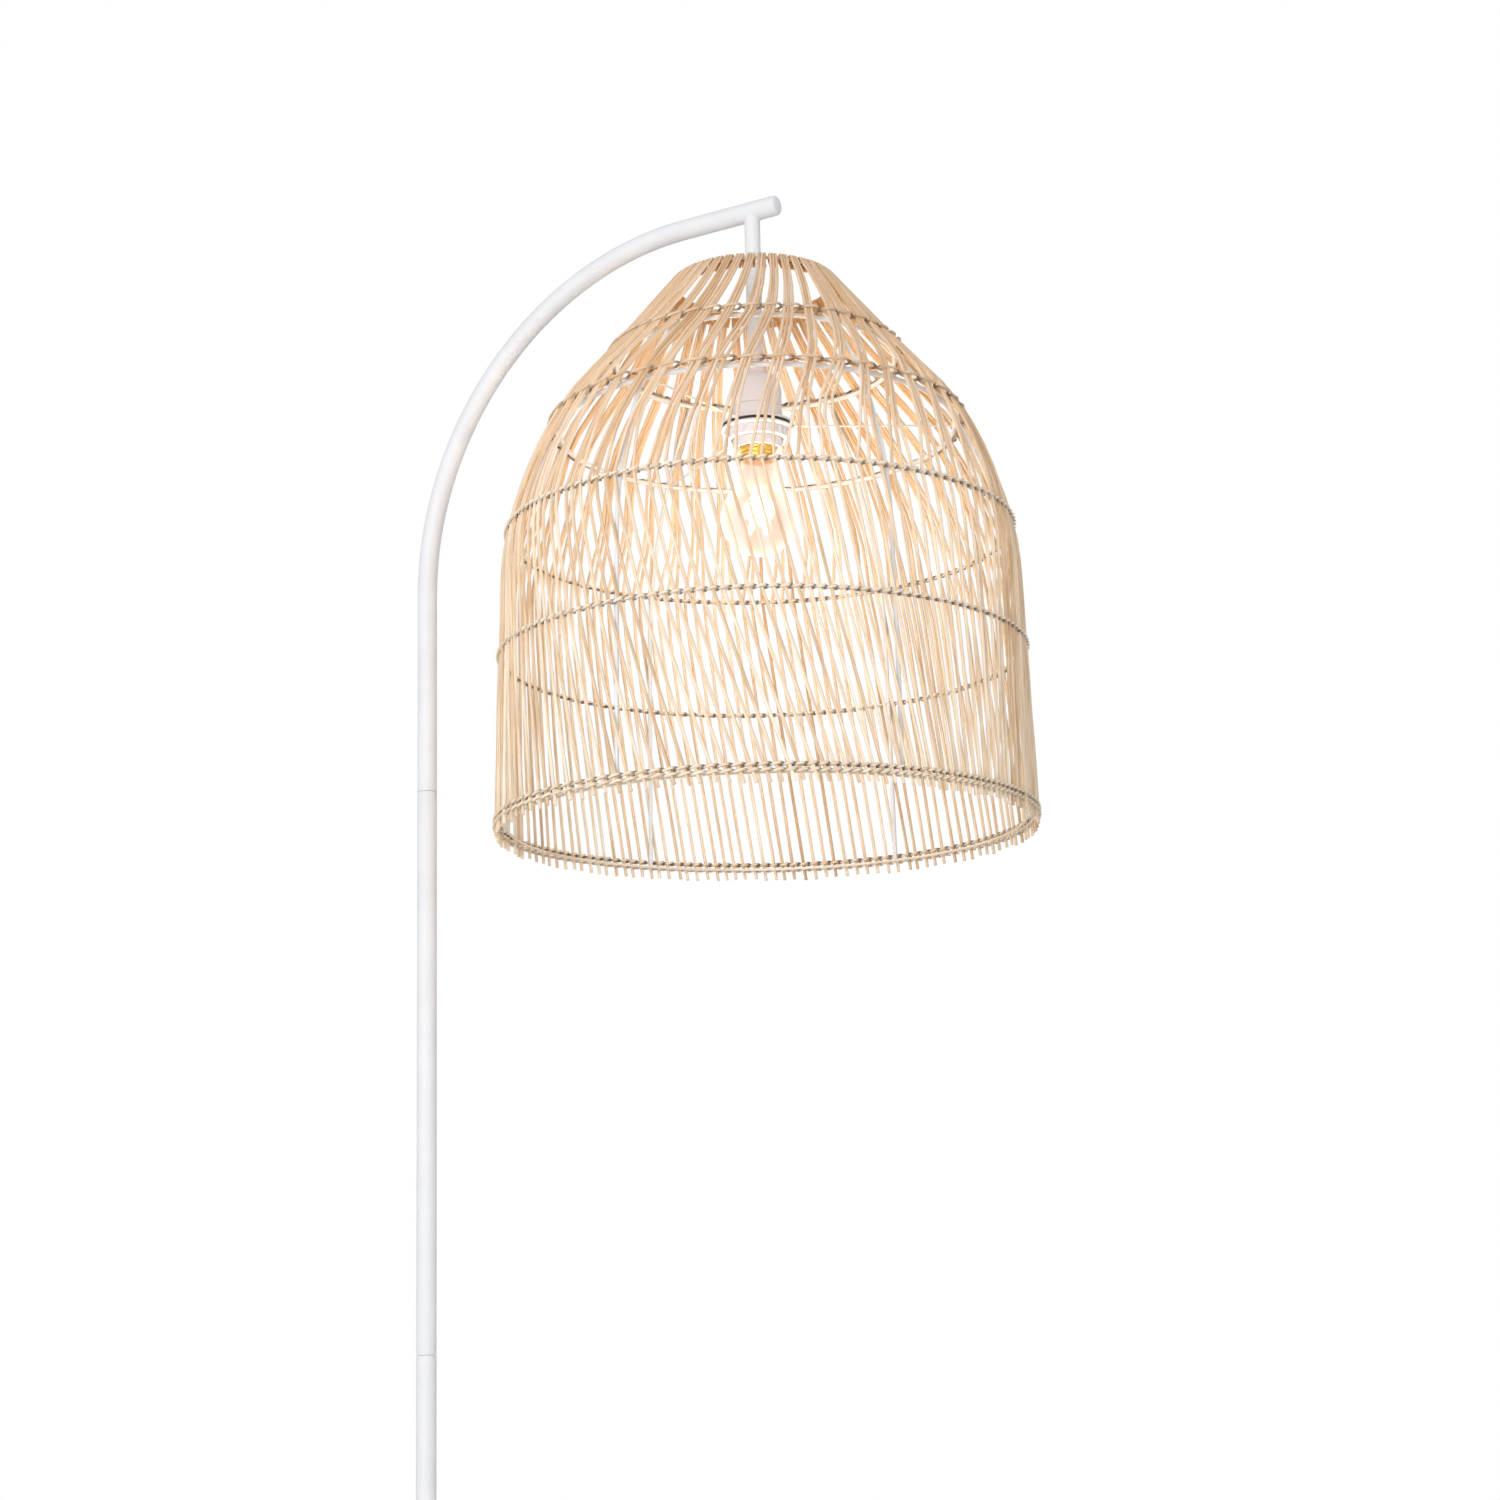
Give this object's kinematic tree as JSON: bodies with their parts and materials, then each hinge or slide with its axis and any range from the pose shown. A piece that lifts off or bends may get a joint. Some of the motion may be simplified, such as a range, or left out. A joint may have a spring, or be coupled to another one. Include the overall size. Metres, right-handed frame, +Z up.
{
  "type": "rattan floor lamp",
  "caption": "Floor lamp with a round weighted foot, a tube pole bent over into an arm, and a hanging open-weave cane shade around a bare bulb.",
  "frame": {"origin": "middle of the foot's underside, on the pole's axis", "axes": "+Z up along the pole; +X from the pole towards the shade, along the arm; +Y to the left seen from the pole looking out along the arm"},
  "size_m": [0.6795, 0.4192, 1.374],
  "materials": {
    "powder_coat": "satin powder coat",
    "black_paint": "satin black",
    "cane": "natural matt",
    "cane_weave": "natural matt",
    "iron": "as cast",
    "zinc_steel": "zinc plated",
    "holder_plastic": "satin",
    "porcelain": "matt",
    "contact_brass": "bright",
    "foot_rubber": "matt",
    "lead_sheath": "smooth",
    "bulb_clear": "clear",
    "filament_glow": "glowing"
  },
  "bodies": {
    "stand": {"foot_sheet": "foot_rubber", "foot_weight": "iron", "foot_cover": "powder_coat", "lead_inlet": "foot_rubber", "foot_washer": "zinc_steel", "foot_nut": "zinc_steel", "foot_stud": "zinc_steel", "terminal_block": "porcelain", "pole_lower": "powder_coat", "pole_middle": "powder_coat", "pole_insert": "zinc_steel", "joiner_lower": "zinc_steel", "joiner_upper": "zinc_steel", "arm_tube": "powder_coat", "arm_end_cap": "powder_coat", "drop_tube": "powder_coat", "inner_lead": "lead_sheath", "holder_nipple": "zinc_steel", "nipple_nut": "zinc_steel", "holder_cap": "holder_plastic", "holder_skirt": "holder_plastic", "holder_insert": "porcelain", "screw_shell": "contact_brass", "centre_contact": "contact_brass"},
    "shade": {"cane_cage": "cane", "hoop_neck": "cane_weave", "hoop_shoulder": "cane_weave", "hoop_upper": "cane_weave", "hoop_middle": "cane_weave", "hoop_rim": "cane_weave", "frame_ring_neck": "powder_coat", "frame_ring_shoulder": "powder_coat", "frame_ring_rim": "cane_weave", "carrier_plate": "black_paint", "carrier_spoke_1": "powder_coat", "carrier_spoke_2": "powder_coat", "carrier_spoke_3": "powder_coat", "frame_upright_1": "powder_coat", "frame_upright_2": "powder_coat", "frame_upright_3": "powder_coat", "frame_upright_4": "powder_coat", "frame_upright_5": "powder_coat", "frame_upright_6": "powder_coat"},
    "ring": {"shade_ring": "holder_plastic"},
    "bulb": {"bulb_cap": "zinc_steel", "bulb_glass": "bulb_clear", "bulb_stem": "bulb_clear", "filament_1": "filament_glow", "filament_2": "filament_glow", "filament_3": "filament_glow", "filament_4": "filament_glow"}
  },
  "joints": [
    {"name": "shade_turn", "type": "hinge", "parent": "stand", "child": "shade", "pos_m": [0.328, 0, 1.185], "axis": [0, 0, 1], "continuous": true},
    {"name": "ring_unscrew", "type": "hinge", "parent": "stand", "child": "ring", "pos_m": [0.328, 0, 1.18], "axis": [0, 0, -1], "range_deg": [0, 720]},
    {"name": "bulb_unscrew", "type": "hinge", "parent": "stand", "child": "bulb", "pos_m": [0.328, 0, 1.1667], "axis": [0, 0, -1], "range_deg": [0, 1080]}
  ]
}
